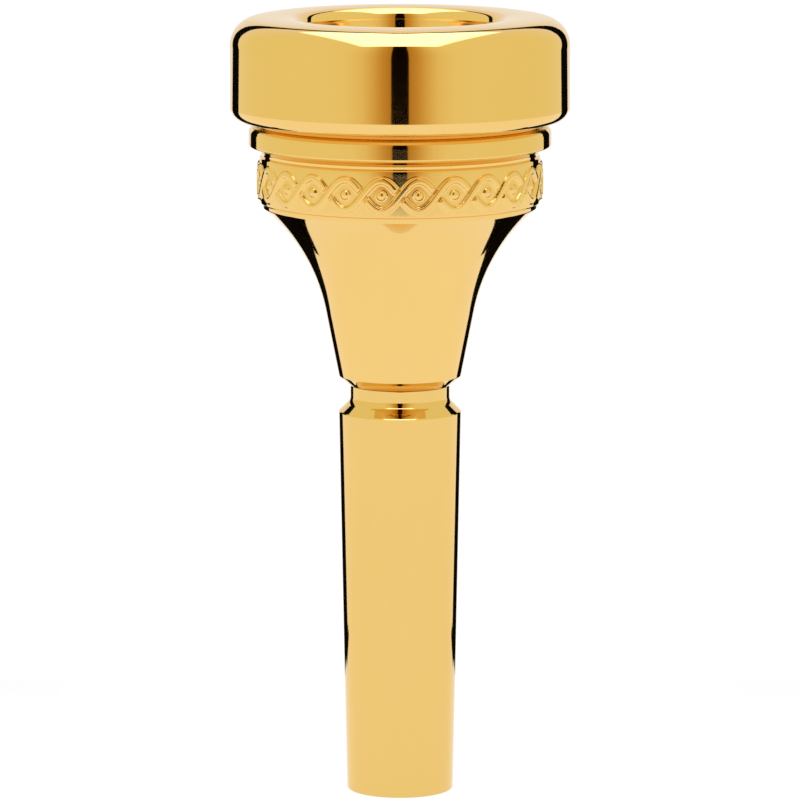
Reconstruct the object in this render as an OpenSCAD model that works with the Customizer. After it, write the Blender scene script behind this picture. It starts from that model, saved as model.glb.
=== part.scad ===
// Three-piece alto (tenor) horn mouthpiece: a screw rim, a cup and a shank,
// turned from brass, with an O-ring in each screw joint.
// Millimetres. The axis is Z, the shank's end face is at z = 0 and the rim is on top.

/* [Rim] */
// Outside diameter of the rim
rim_d = 29.5; // [29.2:0.1:30]
// Diameter of the ring of highest points on the rim
crest_d = 22; // [21.8:0.1:22.2]
// Diameter of the cup just inside the rim's inner edge
cup_d = 17.2; // [16.8:0.1:17.6]
// Rounding radius of the crown across the rim
crown_r = 14; // [12:0.5:16]
// Rounding radius of the rim's inner edge
bite_r = 1; // [0.9:0.05:1.1]
// Rounding radius of the rim's outer top edge
rim_edge_r = 2.4; // [2.2:0.1:2.6]
// Rounding radius of the rim's lower edge
rim_foot_r = 1.15; // [1:0.05:1.3]

/* [Cup] */
// Diameter of the collar below the rim
collar_d = 26.3; // [26:0.1:26.8]
// Diameter of the plain band below the collar
band_d = 24.4; // [24.2:0.1:24.8]
// Diameter of the cup's foot, where it meets the shank's neck
foot_d = 10.7; // [10.5:0.1:10.9]
// Radius of the concave flare between the foot's cone and the band
flare_r = 16; // [15.8:0.1:16.2]

/* [Shank] */
// Diameter of the shank at its open end
tip_d = 9.3; // [9.2:0.05:9.6]
// Diameter of the shank at its shoulder
shoulder_d = 10.7; // [10.6:0.05:10.9]
// Diameter of the neck between the shoulder and the cup
neck_d = 8.7; // [8.65:0.05:8.8]

/* [Airway] */
// Diameter of the throat, the narrowest part of the airway
throat_d = 6; // [5.8:0.1:6]
// Diameter of the backbore where it opens at the shank's end
exit_d = 7.5; // [7.2:0.1:7.7]

/* [Screw joints] */
// Outside diameter of the rim's thread
rim_thread_d = 20; // [19.9:0.05:20]
// Outside diameter of the shank's thread
shank_thread_d = 8; // [7.95:0.05:8]
// Play between the threads, measured along a radius
thread_play = 0.08; // [0.07:0.01:0.09]
// Gap left between faces that meet when a joint is screwed home
seat_gap = 0.05; // [0.04:0.01:0.06]

/* [Hidden] */
$fn = 96;

gold = [0.93, 0.72, 0.30];
rubber = [0.08, 0.08, 0.09];

// Heights of the outside features, from the shank's end face upwards
shoulder_z = 33.6;
neck_cove_z = 34.95;
foot_seat_z = 36;
foot_z = 36.8;
cone_top_z = 42.5;
cone_top_r = 6.5;
cove_z = 55.95;
collar_z = 57.05;
collar_top_z = 58.1;
rim_seat_z = 59.15;
top_z = 68.2;

// Heights of the airway
throat_z = 36;
cup_bottom_z = 41;

// Rim joint: pitch, and the heights of its spigot, thread and seal
rim_pitch = 1;
rim_thread_depth = 0.55;
spigot_z = 54.15;
rim_undercut_z = 57.55;
rim_land_z = 58.95;
rim_seal_z = 58.43;
rim_seal_section = 0.86;

// Shank joint: the same
shank_pitch = 0.75;
shank_thread_depth = 0.42;
shank_undercut_z = 37.4;
shank_seal_z = 36.75;
shank_seal_section = 0.5;

// Steps used to draw a rounded stretch, the airway and one turn of a thread
arc_steps = 16;
airway_steps = 28;
rim_turn_steps = 40;
shank_turn_steps = 28;
step_offset = 0.37;

edge_break = 0.2;
lead_in = 0.4;
crest_flat = 0.15;
root_tan = tan(30);

// Points along an arc from angle a to angle b, in degrees
function arc(centre, r, a, b, steps = arc_steps) =
    [for (i = [0:steps]) let (t = a + (b - a) * i / steps)
        [centre[0] + r * cos(t), centre[1] + r * sin(t)]];

// Points of a list from the last to the first
function backwards(list) = [for (i = [len(list) - 1:-1:0]) list[i]];

// The crown's circle is centred below the crest. The bite and the outer edge are
// circles inside it that touch it, so the whole rim runs smoothly.
crown_centre = [crest_d / 2, top_z - crown_r];
bite_centre_r = cup_d / 2 + bite_r;
bite_angle = acos((bite_centre_r - crown_centre[0]) / (crown_r - bite_r));
bite_centre = [bite_centre_r, crown_centre[1] + (crown_r - bite_r) * sin(bite_angle)];
edge_centre_r = rim_d / 2 - rim_edge_r;
edge_angle = acos((edge_centre_r - crown_centre[0]) / (crown_r - rim_edge_r));
edge_centre = [edge_centre_r, crown_centre[1] + (crown_r - rim_edge_r) * sin(edge_angle)];

// Radius of the cup's inside at a height: a cone from the throat to the bite, with a
// half-cosine added that rounds it into a bowl
function cup_rise(z) = (z - cup_bottom_z) / (bite_centre[1] - cup_bottom_z);
function cup_r(z) = throat_d / 2 + (cup_d - throat_d) / 2
    * (0.45 * cup_rise(z) + 0.275 * (1 - cos(180 * cup_rise(z))));

// Points on the cup's inside from a lower to an upper height
function cup_wall(low, high, steps = airway_steps) =
    [for (i = [0:steps]) let (z = low + (high - low) * i / steps) [cup_r(z), z]];

// A helical bar with the cross-section given as [radius, height] points, turning upwards.
// phase is the height of its middle where it crosses the +X axis. Its corners are placed
// part of a step on from that axis, so none falls on the rim of a face that it cuts.
module helical_bar(section, pitch, low, high, phase, turn_steps) {
    first = floor((low - phase) / pitch * turn_steps);
    last = ceil((high - phase) / pitch * turn_steps);
    sides = len(section);
    points = [for (i = [first:last], p = section)
        let (turns = (i + step_offset) / turn_steps)
        [p[0] * cos(360 * turns), p[0] * sin(360 * turns), phase + pitch * turns + p[1]]];
    skin = [for (i = [0:last - first - 1], j = [0:sides - 1])
        let (a = i * sides + j, b = i * sides + (j + 1) % sides)
        each [[a, b, b + sides], [a, b + sides, a + sides]]];
    end = (last - first) * sides;
    caps = [[2, 1, 0], [3, 2, 0], [end, end + 1, end + 2], [end, end + 2, end + 3]];
    polyhedron(points, concat(skin, caps), convexity = 10);
}

// What is cut from a spigot to leave an outside thread of radius r
module outside_thread_cut(r, depth, pitch, low, high, turn_steps) {
    over = 0.06;
    top = (pitch - crest_flat) / 2;
    helical_bar([
        [r - depth, -(top - depth * root_tan)],
        [r + over, -(top + over * root_tan)],
        [r + over, top + over * root_tan],
        [r - depth, top - depth * root_tan],
    ], pitch, low, high, pitch / 2, turn_steps);
}

// What is cut from a bore of radius r - depth + thread_play to leave the matching inside thread
module inside_thread_cut(r, depth, pitch, low, high, turn_steps) {
    play = 0.07;
    over = 0.06;
    inner = r - depth + thread_play - over;
    outer = r + thread_play;
    half_at = function (radius) crest_flat / 2 + (r - radius) * root_tan + play;
    helical_bar([
        [inner, -half_at(inner)],
        [outer, -half_at(outer)],
        [outer, half_at(outer)],
        [inner, half_at(inner)],
    ], pitch, low, high, 0, turn_steps);
}

// An O-ring of the given middle radius and section, at a height
module o_ring(middle_r, section, z) {
    translate([0, 0, z])
        rotate_extrude()
            translate([middle_r, 0])
                circle(d = section);
}

module rim() {
    major = rim_thread_d / 2;
    seal_r = major - 0.85;
    outside = concat(
        [[cup_r(spigot_z), spigot_z], [major - lead_in, spigot_z], [major, spigot_z + lead_in]],
        [[major, rim_undercut_z], [seal_r, rim_undercut_z], [seal_r, rim_land_z], [major, rim_land_z]],
        [[major, rim_seat_z + seat_gap]],
        arc([rim_d / 2 - rim_foot_r, rim_seat_z + seat_gap + rim_foot_r], rim_foot_r, -90, 0),
        arc(edge_centre, rim_edge_r, 0, edge_angle),
        arc(crown_centre, crown_r, edge_angle, bite_angle),
        arc(bite_centre, bite_r, bite_angle, 175)
    );
    inside = backwards(cup_wall(spigot_z, bite_centre[1]));
    color(gold)
        difference() {
            rotate_extrude() polygon(concat(outside, inside));
            outside_thread_cut(major, rim_thread_depth, rim_pitch,
                spigot_z - rim_pitch, rim_undercut_z + rim_pitch * 0.6, rim_turn_steps);
        }
}

module rim_seal() {
    color(rubber)
        o_ring(rim_thread_d / 2 - 0.37, rim_seal_section, rim_seal_z);
}

module cup() {
    rim_bore = rim_thread_d / 2 + 0.1;
    rim_crest = rim_thread_d / 2 - rim_thread_depth + thread_play;
    shank_bore = shank_thread_d / 2 + 0.1;
    shank_crest = shank_thread_d / 2 - shank_thread_depth + thread_play;
    cone_angle = atan((cone_top_r - foot_d / 2) / (cone_top_z - foot_z));
    flare_centre = [cone_top_r + flare_r * cos(cone_angle), cone_top_z - flare_r * sin(cone_angle)];
    flare_end = acos((flare_centre[0] - band_d / 2) / flare_r);
    cove_r = (collar_d - band_d) / 2 + 0.1;
    collar_edge_r = 0.75;
    floor_z = spigot_z - seat_gap;
    roof_z = cup_bottom_z + seat_gap;
    outside = concat(
        [[shank_bore, foot_seat_z], [neck_d / 2 + 0.1, foot_seat_z], [foot_d / 2, foot_z]],
        arc(flare_centre, flare_r, 180 - cone_angle, 180 - flare_end),
        [[band_d / 2, cove_z]],
        arc([band_d / 2 + cove_r, cove_z], cove_r, 180, 95),
        [[collar_d / 2, collar_z]],
        arc([collar_d / 2 - collar_edge_r, collar_top_z], collar_edge_r, 0, 80),
        [[collar_d / 2 - 0.8, rim_seat_z]]
    );
    rim_socket = [
        [rim_bore + lead_in, rim_seat_z],
        [rim_bore, rim_seat_z - lead_in],
        [rim_bore, rim_undercut_z + 0.2],
        [rim_crest, rim_undercut_z - 0.3],
        [rim_crest, spigot_z + 0.8],
        [rim_bore, spigot_z + 0.5],
        [rim_bore, floor_z],
    ];
    shank_socket = [
        [shank_bore, roof_z],
        [shank_bore, roof_z - 0.3],
        [shank_crest, roof_z - 0.5],
        [shank_crest, shank_undercut_z + 0.3],
        [shank_bore, shank_undercut_z],
    ];
    color(gold)
        difference() {
            rotate_extrude()
                polygon(concat(outside, rim_socket, backwards(cup_wall(roof_z, floor_z)), shank_socket));
            inside_thread_cut(rim_thread_d / 2, rim_thread_depth, rim_pitch,
                spigot_z + 0.4, rim_undercut_z + 0.3, rim_turn_steps);
            inside_thread_cut(shank_thread_d / 2, shank_thread_depth, shank_pitch,
                shank_undercut_z - 0.2, roof_z - 0.2, shank_turn_steps);
        }
}

module shank_seal() {
    color(rubber)
        o_ring(shank_thread_d / 2 - 0.24, shank_seal_section, shank_seal_z);
}

module shank() {
    major = shank_thread_d / 2;
    seal_r = major - 0.54;
    cove_r = 0.8;
    slope_start = [neck_d / 2 + cove_r * (1 - cos(45)), neck_cove_z - cove_r * sin(45)];
    slope_run = shoulder_d / 2 - 0.07 - slope_start[0];
    outside = concat(
        [[exit_d / 2, 0]],
        arc([tip_d / 2 - edge_break, edge_break], edge_break, -90, 0, 6),
        [[shoulder_d / 2, shoulder_z], [slope_start[0] + slope_run, slope_start[1] - slope_run]],
        arc([neck_d / 2 + cove_r, neck_cove_z], cove_r, 225, 180),
        [[neck_d / 2, foot_seat_z - seat_gap], [seal_r, foot_seat_z - seat_gap]],
        [[seal_r, shank_undercut_z], [major, shank_undercut_z]],
        [[major, cup_bottom_z - lead_in], [major - lead_in, cup_bottom_z]]
    );
    inside = [[throat_d / 2, cup_bottom_z], [throat_d / 2, throat_z]];
    color(gold)
        difference() {
            rotate_extrude() polygon(concat(outside, inside));
            outside_thread_cut(major, shank_thread_depth, shank_pitch,
                shank_undercut_z - shank_pitch * 0.6, cup_bottom_z + shank_pitch, shank_turn_steps);
        }
}

rim();
rim_seal();
cup();
shank_seal();
shank();
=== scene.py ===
import math

import bpy
import numpy as np
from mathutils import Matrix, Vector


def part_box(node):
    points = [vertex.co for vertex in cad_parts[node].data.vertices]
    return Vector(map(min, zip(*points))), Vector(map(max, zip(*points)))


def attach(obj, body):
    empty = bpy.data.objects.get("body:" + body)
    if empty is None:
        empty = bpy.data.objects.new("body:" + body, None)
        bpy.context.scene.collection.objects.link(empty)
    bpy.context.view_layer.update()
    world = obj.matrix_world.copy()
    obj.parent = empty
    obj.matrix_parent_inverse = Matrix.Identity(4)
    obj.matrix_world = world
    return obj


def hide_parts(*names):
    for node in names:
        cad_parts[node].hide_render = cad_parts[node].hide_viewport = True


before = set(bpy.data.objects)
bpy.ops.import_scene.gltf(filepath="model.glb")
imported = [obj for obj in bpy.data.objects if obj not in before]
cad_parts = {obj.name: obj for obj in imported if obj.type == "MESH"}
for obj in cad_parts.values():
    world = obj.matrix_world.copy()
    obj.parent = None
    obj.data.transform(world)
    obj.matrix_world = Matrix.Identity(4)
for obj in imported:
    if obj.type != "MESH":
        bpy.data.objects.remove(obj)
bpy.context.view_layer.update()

MM = 0.001
COLUMNS = 180          # facets round a turned piece
RELIEF_COLUMNS = 900   # facets round the patterned band

# ---------------------------------------------------------------- camera
TARGET_Z, DISTANCE = 34.56, 553.9   # mm: the height it looks at, and how far away it stands
ELEVATION, LENS = math.radians(8.8), 285.2

camera_data = bpy.data.cameras.new("camera")
camera_data.lens = LENS
camera_data.sensor_width = 36
camera_data.clip_start = 0.01
camera_data.clip_end = 20
camera = bpy.data.objects.new("camera", camera_data)
camera_z = TARGET_Z + DISTANCE * math.sin(ELEVATION)
camera.location = (0, -DISTANCE * math.cos(ELEVATION) * MM, camera_z * MM)
camera.rotation_euler = (math.pi / 2 - ELEVATION, 0, 0)
bpy.context.collection.objects.link(camera)
bpy.context.scene.camera = camera


# ---------------------------------------------------------------- profiles
# A profile is an open run of (radius, height) in mm. The thread of a piece closes it into a loop.
def corner(r, z, fillet):
    """A corner at radius r and height z, rounded to the radius `fillet`."""
    return ("corner", np.array([r, z], float), fillet)


def curve(points):
    """Points that are used as they are."""
    return ("curve", np.array(points, float), 0)


def arc(centre, radius, start, end, steps=20):
    a = np.radians(np.linspace(start, end, steps + 1))
    return [(centre[0] + radius * math.cos(t), centre[1] + radius * math.sin(t)) for t in a]


def finish(value):
    """The finish of what follows: 0 is polished, 1 shows its turning lines."""
    return ("finish", value, 0)


def filleted(before, at, after, radius, steps=5):
    """Points of the arc that rounds the corner at `at`."""
    u, v = before - at, after - at
    lu, lv = np.linalg.norm(u), np.linalg.norm(v)
    u, v = u / lu, v / lv
    half = math.acos(max(-1, min(1, float(u @ v)))) / 2
    if half > math.radians(88):
        return [at]
    reach = min(radius / math.tan(half), 0.45 * lu, 0.45 * lv)
    radius = reach * math.tan(half)
    middle = (u + v) / np.linalg.norm(u + v)
    centre = at + middle * radius / math.sin(half)
    a, b = at + u * reach - centre, at + v * reach - centre
    turn = math.atan2(a[0] * b[1] - a[1] * b[0], float(a @ b))
    points = []
    for i in range(steps + 1):
        t = turn * i / steps
        c, s = math.cos(t), math.sin(t)
        points.append(centre + np.array([a[0] * c - a[1] * s, a[0] * s + a[1] * c]))
    return points


def outline(items, longest=1.4, guard=0.04):
    """Turns a profile's items into rows (radius, height, finish).

    A straight stretch gets a row `guard` from each end, so that smooth shading stays true on it,
    and rows at most `longest` apart between them. Its two end corners stay sharp.
    """
    flat, now = [], 0.0
    for kind, value, fillet in items:
        if kind == "finish":
            now = value
        elif kind == "corner":
            flat.append((value, fillet, now))
        else:
            flat.extend((p, None, now) for p in value)
    rows = []
    for i, (p, fillet, f) in enumerate(flat):
        if fillet is None or i in (0, len(flat) - 1):
            points = [p]
        else:
            points = filleted(flat[i - 1][0], p, flat[i + 1][0], fillet)
        rows.extend((q[0], q[1], f) for q in points)
    dense = []
    for row, after in zip(rows, rows[1:]):
        start, end = np.array(row[:2]), np.array(after[:2])
        length = np.linalg.norm(end - start)
        if length < 1e-5:
            continue
        dense.append(row)
        if length > 5 * guard:
            extra = max(0, int(math.ceil(length / longest)) - 1)
            between = [(k + 1) / (extra + 1) for k in range(extra)]
            for cut in [guard / length, *between, 1 - guard / length]:
                q = start + (end - start) * cut
                dense.append((q[0], q[1], row[2]))
    return dense + [rows[-1]]


# ---------------------------------------------------------------- threads and relief
CREST_FLAT, FLANK_TAN = 0.15, math.tan(math.radians(30))
PLAY, FLANK_PLAY = 0.08, 0.07   # how much wider a socket's thread is, across and along the axis


def off_crest(theta, z, pitch):
    """Distance along the axis from the nearest crest of a right-hand thread."""
    turns = z / pitch - theta / (2 * math.pi)
    return pitch * np.abs(turns - np.round(turns))


def male_thread(theta, z, major, depth, pitch):
    d = off_crest(theta, z, pitch)
    return np.clip(major - (d - CREST_FLAT / 2) / FLANK_TAN, major - depth, major)


def female_thread(theta, z, major, depth, pitch):
    d = off_crest(theta, z, pitch)
    flank = major - (d - CREST_FLAT / 2 - FLANK_PLAY) / FLANK_TAN
    return np.clip(flank, major - depth + PLAY, major + PLAY)


def smooth(x):
    x = np.clip(x, 0, 1)
    return x * x * (3 - 2 * x)


# The braid on the band, in mm
BRAID_TURNS, BRAID_Z = 12, 53.98          # waves round the band, and the height of their middle
BRAID_REACH, BRAID_HEIGHT = 1.3, 0.25     # how far a wave swings, and how far it stands proud
STRAND_HALF, STRAND_EDGE = 0.27, 0.13     # half a strand's width, and its soft edge
CROSSING_GAP, CROSSING_REACH = 0.2, 0.33  # the gap beside a crossing strand, in mm and half waves
BEAD_R = 0.42


def braid(theta, z, radius):
    """Height of the raised pattern: two interlaced waves with a bead in each eye."""
    phase = BRAID_TURNS * theta
    slope = BRAID_REACH * BRAID_TURNS / radius * np.cos(phase)
    steep = np.sqrt(1 + slope * slope)
    wave = BRAID_REACH * np.sin(phase)

    def strand(d):
        return smooth((STRAND_HALF - d) / STRAND_EDGE + 0.5)

    def clear_of(d):
        return smooth((d - STRAND_HALF - CROSSING_GAP) / STRAND_EDGE + 0.5)

    first = np.abs(z - BRAID_Z - wave) / steep
    second = np.abs(z - BRAID_Z + wave) / steep
    crossing = np.round(phase / math.pi)
    near = np.abs(phase / math.pi - crossing) < CROSSING_REACH
    even = np.mod(crossing, 2) == 0
    a = strand(first) * np.where(near & ~even, clear_of(second), 1)
    b = strand(second) * np.where(near & even, clear_of(first), 1)
    eye = (np.floor(phase / math.pi) + 0.5) * math.pi
    along = (phase - eye) / BRAID_TURNS * radius
    bead = np.sqrt(np.clip(1 - (along ** 2 + (z - BRAID_Z) ** 2) / BEAD_R ** 2, 0, 1))
    return BRAID_HEIGHT * np.maximum(np.maximum(a, b), bead)


# ---------------------------------------------------------------- mesh building
class Turned:
    """Collects rings of vertices and joins each to the next into one closed skin."""

    def __init__(self):
        self.rings = []

    def ring(self, radius, height, mark, columns=COLUMNS):
        theta = np.arange(columns) * 2 * math.pi / columns
        r = radius(theta) if callable(radius) else np.full(columns, radius)
        points = np.column_stack([r * np.cos(theta), r * np.sin(theta), np.full(columns, height)])
        self.rings.append((points, mark))

    def rows(self, rows):
        for r, z, mark in rows:
            self.ring(r, z, mark)

    def build(self, name):
        starts, verts, marks, faces = [], [], [], []
        for points, mark in self.rings:
            starts.append(sum(len(v) for v in verts))
            verts.append(points)
            marks.append(np.full(len(points), mark))
        for i in range(len(self.rings)):
            k = (i + 1) % len(self.rings)
            a, b, na, nb = starts[i], starts[k], len(verts[i]), len(verts[k])
            if na == nb:
                faces.extend((a + j, a + (j + 1) % na, b + (j + 1) % nb, b + j) for j in range(na))
                continue
            few, many = min(na, nb), max(na, nb)
            start_few, start_many = (a, b) if na < nb else (b, a)
            step = many // few
            for j in range(few):
                c0, c1 = start_few + j, start_few + (j + 1) % few
                fine = [start_many + (j * step + s) % many for s in range(step + 1)]
                fan = [(c0, c1, fine[step // 2])]
                fan += [(c0, fine[s + 1], fine[s]) for s in range(step // 2)]
                fan += [(c1, fine[s + 1], fine[s]) for s in range(step // 2, step)]
                faces.extend(fan if start_few == a else [f[::-1] for f in fan])
        mesh = bpy.data.meshes.new(name)
        mesh.from_pydata((np.vstack(verts) * MM).tolist(), [], faces)
        mesh.update()
        mesh.shade_smooth()
        layer = mesh.attributes.new("machined", "FLOAT", "POINT")
        layer.data.foreach_set("value", np.concatenate(marks).astype(np.float32))
        piece = bpy.data.objects.new(name, mesh)
        bpy.context.collection.objects.link(piece)
        return piece


def threaded(turned, first, last, step, envelope, thread, inside):
    """Rows across a thread. The envelope is the smooth shape that limits it: a cone or a bore."""
    pick = np.maximum if inside else np.minimum
    for z in np.linspace(first, last, int(round(abs(last - first) / step)) + 1):
        limit = envelope(z)
        turned.ring(lambda theta, z=z, limit=limit: pick(thread(theta, z), limit), z, 1.0)


# ---------------------------------------------------------------- sizes, in mm, as in the solids
def frame_mm(node, end, axis):
    """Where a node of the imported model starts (end 0) or stops (end 1) along an axis."""
    return round(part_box(node)[end][axis] / MM, 2)


RIM_R, SHOULDER_R = frame_mm("rim", 1, 0), frame_mm("shank", 1, 0)
SPIGOT_Z, TOP_Z = frame_mm("rim", 0, 2), frame_mm("rim", 1, 2)
FOOT_SEAT_Z, SEAT_Z, BOWL_Z = frame_mm("cup", 0, 2), frame_mm("cup", 1, 2), frame_mm("shank", 1, 2)
CREST_R, CUP_R, CROWN, BITE, EDGE, RIM_FOOT = 11.0, 8.6, 14.0, 1.0, 2.4, 1.15
GAP, THROAT_R = 0.05, 3.0
RIM_MAJOR, RIM_DEPTH, RIM_PITCH, RIM_STEP = 10.0, 0.55, 1.0, 0.05
SHANK_MAJOR, SHANK_DEPTH, SHANK_PITCH, SHANK_STEP = 4.0, 0.42, 0.75, 0.045
RIM_GROOVE, SHANK_GROOVE = 0.85, 0.54   # how deep the O-rings sit
LEAD_IN, BORE_PLAY, THREAD_END = 0.4, 0.1, 0.02
UNDERCUT_Z, LAND_Z = SPIGOT_Z + 3.4, SEAT_Z - 0.2
FOOT_Z, SHANK_UNDERCUT_Z = FOOT_SEAT_Z + 0.8, FOOT_SEAT_Z + 1.4
BITE_END, BOWL_ROWS = 175, 44           # degrees where the bite meets the bowl, rows down the bowl

crown_c = np.array([CREST_R, TOP_Z - CROWN])
bite_angle = math.degrees(math.acos((CUP_R + BITE - CREST_R) / (CROWN - BITE)))
bite_c = (CUP_R + BITE, crown_c[1] + (CROWN - BITE) * math.sin(math.radians(bite_angle)))
edge_angle = math.degrees(math.acos((RIM_R - EDGE - CREST_R) / (CROWN - EDGE)))
edge_c = (RIM_R - EDGE, crown_c[1] + (CROWN - EDGE) * math.sin(math.radians(edge_angle)))


def bowl_r(z):
    """The bowl's radius: half a straight cone, half a cosine."""
    rise = (z - BOWL_Z) / (bite_c[1] - BOWL_Z)
    return THROAT_R + (CUP_R - THROAT_R) * (0.45 * rise + 0.275 * (1 - math.cos(math.pi * rise)))


def bowl(high, low, steps):
    return curve([(bowl_r(z), z) for z in np.linspace(high, low, steps + 1)])


# ---------------------------------------------------------------- the screw rim
def make_rim():
    t = Turned()
    root_r, seal_r = RIM_MAJOR - RIM_DEPTH, RIM_MAJOR - RIM_GROOVE

    def cone(z):
        return min(RIM_MAJOR, RIM_MAJOR - LEAD_IN + (z - SPIGOT_Z))

    threaded(t, SPIGOT_Z + THREAD_END, UNDERCUT_Z - THREAD_END, RIM_STEP, cone,
             lambda a, z: male_thread(a, z, RIM_MAJOR, RIM_DEPTH, RIM_PITCH), False)
    t.rows(outline([
        finish(1),
        corner(root_r, UNDERCUT_Z, 0.02),
        corner(seal_r, UNDERCUT_Z, 0.08),
        corner(seal_r, LAND_Z, 0.08),
        corner(RIM_MAJOR, LAND_Z, 0.05),
        corner(RIM_MAJOR, SEAT_Z + GAP, 0.08),
        finish(0),
        curve(arc((RIM_R - RIM_FOOT, SEAT_Z + GAP + RIM_FOOT), RIM_FOOT, -90, 0, 18)),
        curve(arc(edge_c, EDGE, 0, edge_angle, 30)[:-1]),
        curve(arc(crown_c, CROWN, edge_angle, bite_angle, 30)[:-1]),
        curve(arc(bite_c, BITE, bite_angle, BITE_END, 14)),
        bowl(bite_c[1], SPIGOT_Z + 0.1, BOWL_ROWS),
        corner(bowl_r(SPIGOT_Z), SPIGOT_Z, 0.08),
        finish(1),
        corner(root_r, SPIGOT_Z, 0.02),
    ]))
    return t.build("screw_rim")


# ---------------------------------------------------------------- the flared cup
def make_cup():
    t = Turned()
    foot_r, foot_seat_r, cone_r, cone_z, flare_r = SHOULDER_R, 4.45, 6.5, 42.5, 16.0
    band_r, band_z, band_lip, band_top = 12.2, 52.1, 0.22, 56.02
    collar_r, collar_z, collar_top, collar_edge = 13.15, 57.05, 58.1, 0.75
    mouth, runout = 0.4, 0.3
    angle = math.degrees(math.atan((cone_r - foot_r) / (cone_z - FOOT_Z)))
    lean = math.radians(angle)
    centre = (cone_r + flare_r * math.cos(lean), cone_z - flare_r * math.sin(lean))
    flare_top = band_r - band_lip
    flare_end = math.degrees(math.acos((centre[0] - flare_top) / flare_r))
    flare = arc(centre, flare_r, 180 - angle, 180 - flare_end, 60)
    shank_bore, shank_crest = SHANK_MAJOR + BORE_PLAY, SHANK_MAJOR - SHANK_DEPTH + PLAY
    rim_bore, rim_crest = RIM_MAJOR + BORE_PLAY, RIM_MAJOR - RIM_DEPTH + PLAY
    low, high, fade_low, fade_high, braid_rows = band_z + 0.1, 55.85, 0.1, 0.12, 50

    start = outline([
        finish(1),
        corner(shank_bore, SHANK_UNDERCUT_Z - 0.25, 0.02),
        corner(shank_bore, FOOT_SEAT_Z, 0.08),
        finish(0),
        corner(foot_seat_r, FOOT_SEAT_Z, 0.05),
        corner(foot_r, FOOT_Z, 0.12),
        curve(flare),
        corner(flare_top + 0.01, band_z - 0.14, 0.04),
        corner(band_r, band_z, 0.07),
        corner(band_r, low, 0.01),
    ])
    t.rows(start[:-1])
    for z in np.linspace(low, high, braid_rows):
        fade = float(smooth((high - z) / fade_high) * smooth((z - low) / fade_low + 0.1))
        t.ring(lambda a, z=z, fade=fade: band_r + braid(a, z, band_r) * fade, z, 0, RELIEF_COLUMNS)
    middle = outline([
        corner(band_r, high, 0.01),
        corner(band_r, band_top, 0.14),
        corner(band_r - 0.2, 56.2, 0.05),
        corner(band_r - 0.16, 56.46, 0.24),
        corner(collar_r - 0.3, 56.88, 0.1),
        corner(collar_r, collar_z, 0.12),
        curve(arc((collar_r - collar_edge, collar_top), collar_edge, 0, 80, 18)),
        corner(collar_r - 0.8, SEAT_Z, 0.06),
        finish(1),
        corner(rim_bore + mouth, SEAT_Z, 0.06),
        corner(rim_bore, SEAT_Z - mouth, 0.05),
        corner(rim_bore, UNDERCUT_Z + 0.72, 0.01),
    ])
    t.rows(middle[1:])

    def rim_socket(z):
        if z > UNDERCUT_Z + 0.2 or z < SPIGOT_Z + 0.5:
            return rim_bore
        if z > UNDERCUT_Z - runout:
            return rim_crest + (rim_bore - rim_crest) * (z - UNDERCUT_Z + runout) / 0.5
        if z < SPIGOT_Z + 0.8:
            return rim_bore - (rim_bore - rim_crest) * (z - SPIGOT_Z - 0.5) / runout
        return rim_crest

    threaded(t, UNDERCUT_Z + 0.7, SPIGOT_Z + 0.2, RIM_STEP, rim_socket,
             lambda a, z: female_thread(a, z, RIM_MAJOR, RIM_DEPTH, RIM_PITCH), True)
    t.rows(outline([
        finish(1),
        corner(rim_bore, SPIGOT_Z + 0.15, 0.01),
        corner(rim_bore, SPIGOT_Z - GAP, 0.08),
        finish(0),
        corner(bowl_r(SPIGOT_Z), SPIGOT_Z - GAP, 0.06),
        bowl(SPIGOT_Z - GAP - 0.12, BOWL_Z + GAP + 0.06, BOWL_ROWS),
        finish(1),
        corner(THROAT_R + 0.01, BOWL_Z + GAP, 0.04),
        corner(shank_bore, BOWL_Z + GAP, 0.06),
        corner(shank_bore, BOWL_Z - 0.1, 0.01),
    ]))

    def shank_socket(z):
        roof = BOWL_Z + GAP
        if z > roof - runout or z < SHANK_UNDERCUT_Z:
            return shank_bore
        if z > roof - 0.5:
            return shank_crest + (shank_bore - shank_crest) * (z - roof + 0.5) / 0.2
        if z < SHANK_UNDERCUT_Z + runout:
            return shank_bore - (shank_bore - shank_crest) * (z - SHANK_UNDERCUT_Z) / runout
        return shank_crest

    threaded(t, BOWL_Z - 0.12, SHANK_UNDERCUT_Z - 0.25, SHANK_STEP, shank_socket,
             lambda a, z: female_thread(a, z, SHANK_MAJOR, SHANK_DEPTH, SHANK_PITCH), True)
    return t.build("flared_cup")


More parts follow.
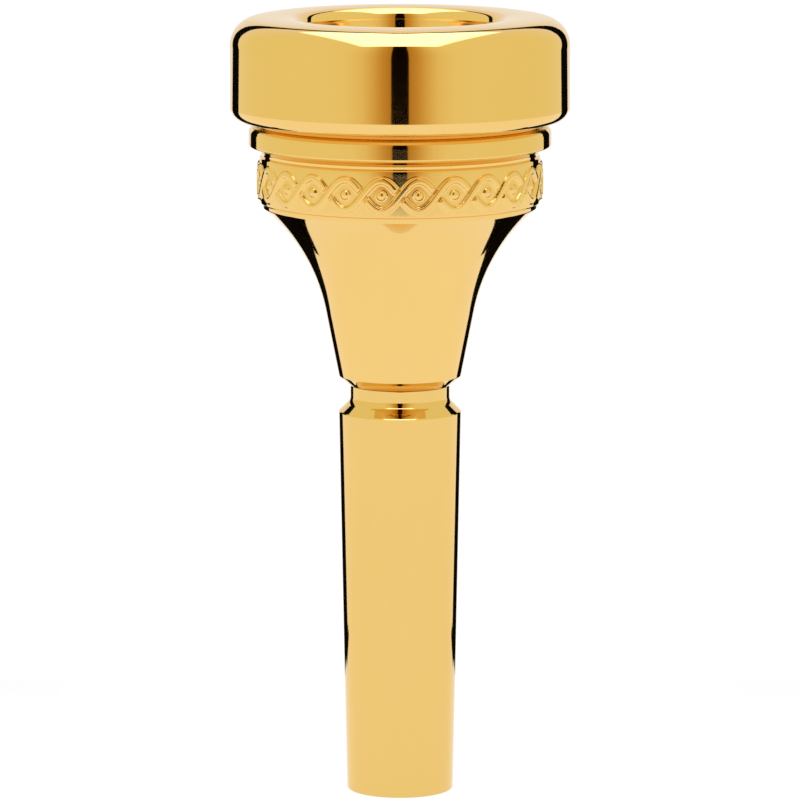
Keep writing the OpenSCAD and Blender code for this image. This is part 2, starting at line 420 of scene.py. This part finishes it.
# ---------------------------------------------------------------- the shank
def make_shank():
    t = Turned()
    root_r, seal_r = SHANK_MAJOR - SHANK_DEPTH, SHANK_MAJOR - SHANK_GROOVE
    neck_r, cove_r, cove_z, shoulder_z, bevel = 4.35, 0.8, 34.95, 33.6, 0.07
    tip_r, exit_r, throat_z = 4.65, 3.75, 36
    slope = (neck_r + cove_r * (1 - math.cos(math.pi / 4)), cove_z - cove_r * math.sin(math.pi / 4))
    run = SHOULDER_R - bevel - slope[0]

    def cone(z):
        return min(SHANK_MAJOR, SHANK_MAJOR - LEAD_IN + (BOWL_Z - z))

    threaded(t, SHANK_UNDERCUT_Z + THREAD_END, BOWL_Z - THREAD_END, SHANK_STEP, cone,
             lambda a, z: male_thread(a, z, SHANK_MAJOR, SHANK_DEPTH, SHANK_PITCH), False)
    t.rows(outline([
        finish(1),
        corner(root_r, BOWL_Z, 0.02),
        finish(0),
        corner(THROAT_R, BOWL_Z, 0.08),
        corner(THROAT_R, throat_z, 1.5),
        corner(exit_r, 0, 0.1),
        corner(tip_r, 0, 0.2),
        corner(SHOULDER_R, shoulder_z, 0.05),
        corner(slope[0] + run, slope[1] - run, 0.05),
        curve(arc((neck_r + cove_r, cove_z), cove_r, 225, 180, 14)),
        corner(neck_r, FOOT_SEAT_Z - GAP, 0.04),
        finish(1),
        corner(seal_r, FOOT_SEAT_Z - GAP, 0.06),
        corner(seal_r, SHANK_UNDERCUT_Z, 0.06),
        corner(root_r, SHANK_UNDERCUT_Z, 0.02),
    ]))
    return t.build("tapered_shank")


# ---------------------------------------------------------------- the O-rings
def make_ring(name, node, steps=40):
    """A moulded O-ring, with the faint parting line left by its mould."""
    t = Turned()
    low, high = frame_mm(node, 0, 2), frame_mm(node, 1, 2)
    section, z = high - low, (low + high) / 2
    middle_r = frame_mm(node, 1, 0) - section / 2
    flash, flash_width = 0.012 * section, 0.12
    for i in range(steps):
        a = 2 * math.pi * i / steps
        r = section / 2 + flash * math.exp(-(math.sin(a) / flash_width) ** 2)
        t.ring(middle_r + r * math.cos(a), z + r * math.sin(a), 0)
    return t.build(name)


# ---------------------------------------------------------------- materials
class Nodes:
    """Adds shader nodes with their inputs in one call."""

    def __init__(self, tree):
        self.tree = tree
        self.tree.nodes.clear()

    def add(self, kind, inputs=None, **settings):
        node = self.tree.nodes.new(kind)
        for key, value in settings.items():
            setattr(node, key, value)
        for key, value in (inputs or {}).items():
            if hasattr(value, "is_output"):
                self.tree.links.new(value, node.inputs[key])
            else:
                node.inputs[key].default_value = value
        return node

    def math(self, operation, a, b=0.0, clamp=False):
        return self.add("ShaderNodeMath", {0: a, 1: b}, operation=operation, use_clamp=clamp).outputs[0]

    def span(self, value, low, high, to_low, to_high):
        """Maps low..high onto to_low..to_high."""
        ends = {0: value, 1: low, 2: high, 3: to_low, 4: to_high}
        return self.add("ShaderNodeMapRange", ends).outputs[0]

    def noise(self, where, scale, detail, roughness=0.5):
        inputs = {"Vector": where, "Scale": scale, "Detail": detail, "Roughness": roughness}
        return self.add("ShaderNodeTexNoise", inputs).outputs["Fac"]

    def blend(self, share, first, second):
        """Mixes two colours."""
        inputs = {0: share, 6: first, 7: second}
        return self.add("ShaderNodeMix", inputs, data_type="RGBA").outputs[2]


def gold_material(name, light, deep):
    """Mirror-polished gold plate in two tints. Faces marked machined show fine turning lines."""
    material = bpy.data.materials.new(name)
    material.use_nodes = True
    n = Nodes(material.node_tree)
    where = n.add("ShaderNodeTexCoord").outputs["Object"]
    machined = n.add("ShaderNodeAttribute", attribute_name="machined").outputs["Fac"]
    x, y, z = n.add("ShaderNodeSeparateXYZ", {0: where}).outputs
    radius = n.math("SQRT", n.math("ADD", n.math("MULTIPLY", x, x), n.math("MULTIPLY", y, y)))
    along = n.add("ShaderNodeCombineXYZ", {0: radius, 1: 0.0, 2: z}).outputs[0]
    lines = n.noise(along, 9000, 3, 0.7)
    haze = n.noise(where, 130, 4, 0.6)
    swirl = n.noise(where, 45, 2, 0.4)
    polished = n.math("ADD", n.span(haze, 0.4, 0.75, 0.035, 0.07), n.span(lines, 0.3, 0.8, 0.0, 0.02))
    turned = n.span(lines, 0.3, 0.7, 0.16, 0.3)
    roughness = n.add("ShaderNodeMix", {0: machined, 2: polished, 3: turned}).outputs[0]
    tint = n.blend(n.span(swirl, 0.35, 0.7, 0.0, 1.0), light, deep)
    wave = n.add("ShaderNodeBump", {"Strength": 0.02, "Distance": 0.0004, "Height": swirl})
    depth = n.span(machined, 0, 1, 0.004, 0.25)
    ridge = n.add("ShaderNodeBump", {"Strength": depth, "Distance": 0.00002, "Height": lines,
                                     "Normal": wave.outputs[0]})
    shader = n.add("ShaderNodeBsdfPrincipled", {"Base Color": tint, "Metallic": 1.0,
                                                "Roughness": roughness, "Normal": ridge.outputs[0]})
    n.add("ShaderNodeOutputMaterial", {0: shader.outputs[0]})
    return material


def rubber_material():
    """Satin black nitrile rubber with a fine moulded grain and a little dust."""
    material = bpy.data.materials.new("seal_rubber_satin")
    material.use_nodes = True
    n = Nodes(material.node_tree)
    where = n.add("ShaderNodeTexCoord").outputs["Object"]
    grain = n.noise(where, 14000, 3)
    patch = n.noise(where, 700, 4)
    colour = n.blend(n.span(patch, 0.35, 0.7, 0.0, 1.0), (0.012, 0.012, 0.013, 1), (0.035, 0.034, 0.033, 1))
    bump = n.add("ShaderNodeBump", {"Strength": 0.2, "Distance": 0.00002, "Height": grain})
    roughness = n.span(patch, 0.3, 0.7, 0.4, 0.6)
    shader = n.add("ShaderNodeBsdfPrincipled", {"Base Color": colour, "Roughness": roughness,
                                                "Normal": bump.outputs[0]})
    n.add("ShaderNodeOutputMaterial", {0: shader.outputs[0]})
    return material


gold = gold_material("gold_plate_polished", (0.88, 0.592, 0.205, 1), (0.86, 0.575, 0.19, 1))
# The shank's gold is the same gold painted darker and warmer: painted shade on the shank
shank_gold_painted_shade = gold_material("gold_plate_shank_painted_shade", (0.84, 0.562, 0.183, 1), (0.81, 0.538, 0.162, 1))
rubber = rubber_material()
for piece, node, slot, material in (
    (make_rim(), "rim", "gold_plate", gold),
    (make_ring("rim_o_ring", "rim_seal"), "rim_seal", "seal_rubber", rubber),
    (make_cup(), "cup", "gold_plate", gold),
    (make_ring("shank_o_ring", "shank_seal"), "shank_seal", "seal_rubber", rubber),
    (make_shank(), "shank", "gold_plate", shank_gold_painted_shade),
):
    piece.data.materials.append(material)
    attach(piece, node)
    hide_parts(node)


# ---------------------------------------------------------------- studio
def glow(name, build):
    """A light card's material: build(nodes) gives its colour."""
    material = bpy.data.materials.new(name)
    material.use_nodes = True
    n = Nodes(material.node_tree)
    light = n.add("ShaderNodeEmission", {"Color": build(n), "Strength": 1.0})
    n.add("ShaderNodeOutputMaterial", {0: light.outputs[0]})
    return material


def stage_mesh(name, verts, faces, material, seen=False):
    mesh = bpy.data.meshes.new(name)
    mesh.from_pydata(verts, [], faces)
    mesh.materials.append(material)
    card = bpy.data.objects.new(name, mesh)
    bpy.context.collection.objects.link(card)
    card.visible_camera = seen
    return card


SOFTBOX_FROM_Z = 67   # mm: the overhead softbox's edges are directions from this height


def dome_colour(n):
    """Light by direction, dark at the front and warmer beside it, with a softbox overhead."""
    where = n.add("ShaderNodeTexCoord").outputs["Object"]
    x, y, z = n.add("ShaderNodeSeparateXYZ", {0: where}).outputs
    azimuth = n.math("ARCTAN2", n.math("ABSOLUTE", x), n.math("MULTIPLY", y, -1))
    side = n.math("MULTIPLY", azimuth, 180 / math.pi)
    ramp = n.add("ShaderNodeValToRGB", {0: n.span(side, 0, 60, 0, 1)})
    stops = [(0.0, (0.004, 0.002, 0.001)), (0.094, (0.004, 0.002, 0.001)),
             (0.1, (0.5, 0.27, 0.06)), (0.2, (0.62, 0.38, 0.11)),
             (0.3, (0.75, 0.56, 0.24)), (0.42, (0.86, 0.75, 0.46)),
             (0.6, (0.91, 0.86, 0.6)), (1.0, (0.91, 0.89, 0.64))]
    while len(ramp.color_ramp.elements) < len(stops):
        ramp.color_ramp.elements.new(0.5)
    for element, (at, colour) in zip(ramp.color_ramp.elements, stops):
        element.position, element.color = at, (*colour, 1)
    behind = n.span(side, 135, 145, 0, 1)
    walls = n.blend(behind, ramp.outputs[0], (0.92, 0.88, 0.82, 1))
    up = n.math("MAXIMUM", n.math("SUBTRACT", z, SOFTBOX_FROM_Z * MM), MM)
    across = n.span(n.math("DIVIDE", n.math("ABSOLUTE", x), up), 0.42, 0.48, 1, 0)
    ahead = n.span(n.math("DIVIDE", y, up), -0.71, -0.65, 0, 1)
    back = n.span(n.math("DIVIDE", y, up), 0.85, 0.91, 1, 0)
    softbox = n.math("MULTIPLY", across, n.math("MULTIPLY", ahead, back))
    return n.blend(softbox, walls, (2.6, 2.6, 2.9, 1))


def make_dome(radius=0.45, columns=96, rows=24):
    verts = [(radius * math.cos(e) * math.sin(a), -radius * math.cos(e) * math.cos(a), radius * math.sin(e))
             for e in [math.pi / 2 * r / rows for r in range(rows)]
             for a in [2 * math.pi * c / columns for c in range(columns)]]
    verts.append((0, 0, radius))
    faces = []
    for r in range(rows):
        for c in range(columns):
            here, beside = r * columns + c, r * columns + (c + 1) % columns
            if r < rows - 1:
                faces.append((here, beside, beside + columns, here + columns))
            else:
                faces.append((here, beside, len(verts) - 1))
    stage_mesh("studio_dome", verts, faces, glow("studio_light", dome_colour))


# Black flags behind the object, one each side: edges as (distance from the middle, height) in mm
FLAG_INNER = [(14, 0), (18, 18), (22, 30), (36, 60), (32, 80), (22, 94), (0, 135)]
FLAG_OUTER = [(52, 0), (50, 18), (46, 30), (58, 60), (45, 88), (28, 105), (0, 149)]
FLAG_BACK, FOOT_FRONT, FOOT_INNER, FOOT_OUTER, FOOT_UP = 48, 40, 32, 54, 0.5


def make_flags():
    black = bpy.data.materials.new("flag_black")
    black.use_nodes = True
    n = Nodes(black.node_tree)
    dull = n.add("ShaderNodeBsdfDiffuse", {"Color": (0.004, 0.003, 0.002, 1)})
    n.add("ShaderNodeOutputMaterial", {0: dull.outputs[0]})
    corners = [(FOOT_INNER, FOOT_FRONT), (FOOT_OUTER, FOOT_FRONT),
               (FOOT_OUTER, FLAG_BACK), (FOOT_INNER, FLAG_BACK)]
    for name, side in (("flag_left", -1), ("flag_right", 1)):
        edges = [point for pair in zip(FLAG_INNER, FLAG_OUTER) for point in pair]
        verts = [(side * x * MM, FLAG_BACK * MM, z * MM) for x, z in edges]
        faces = [(i, i + 1, i + 3, i + 2) for i in range(0, len(verts) - 2, 2)]
        faces.append(tuple(range(len(verts), len(verts) + len(corners))))
        verts += [(side * x * MM, y * MM, FOOT_UP * MM) for x, y in corners]
        stage_mesh(name, verts, faces, black)


def make_floor():
    white = bpy.data.materials.new("floor_white")
    white.use_nodes = True
    n = Nodes(white.node_tree)
    where = n.add("ShaderNodeTexCoord").outputs["Object"]
    grain = n.add("ShaderNodeTexNoise", {"Vector": where, "Scale": 30.0}).outputs["Fac"]
    paint = n.add("ShaderNodeBsdfDiffuse", {"Color": (0.04, 0.04, 0.04, 1)})
    strength = n.span(grain, 0.3, 0.7, 0.985, 1.0)
    light = n.add("ShaderNodeEmission", {"Color": (1, 1, 1, 1), "Strength": strength})
    both = n.add("ShaderNodeAddShader", {0: paint.outputs[0], 1: light.outputs[0]})
    n.add("ShaderNodeOutputMaterial", {0: both.outputs[0]})
    half = 2.5
    corners = [(-half, -half, 0), (half, -half, 0), (half, half, 0), (-half, half, 0)]
    stage_mesh("floor", corners, [(0, 1, 2, 3)], white, seen=True)


make_dome()
make_flags()
make_floor()
world = bpy.data.worlds.new("studio")
world.use_nodes = True
world.node_tree.nodes["Background"].inputs[0].default_value = (1, 1, 1, 1)
bpy.context.scene.world = world
bpy.context.scene.view_settings.view_transform = "Standard"
